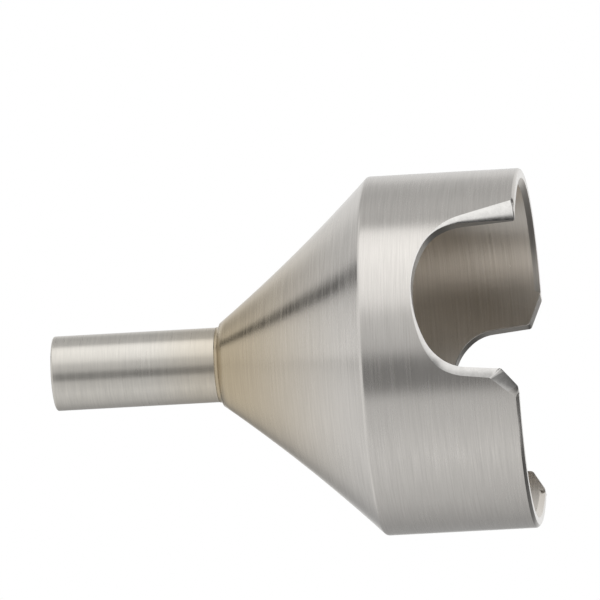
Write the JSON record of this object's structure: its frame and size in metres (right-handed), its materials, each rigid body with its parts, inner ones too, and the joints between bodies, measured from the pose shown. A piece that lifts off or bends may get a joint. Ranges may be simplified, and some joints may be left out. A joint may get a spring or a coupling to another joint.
{
  "type": "hot-air nozzle",
  "caption": "Steel hot-air nozzle for a soldering or rework tool: a straight round outlet tube welded into a cone, with a slotted spring collar that pushes onto the barrel.",
  "frame": {"origin": "centre of the collar's open rim, which the nozzle stands on", "axes": "+Z along the nozzle's axis towards the outlet, slots of the collar on +Y and -Y"},
  "size_m": [0.024, 0.024, 0.032],
  "materials": {
    "turned_steel": "fine turned, straw heat tint near the weld",
    "tube_steel": "fine ground, straw heat tint near the weld"
  },
  "bodies": {
    "root": {"nozzle_body": "turned_steel", "outlet_tube": "tube_steel"}
  },
  "joints": []
}
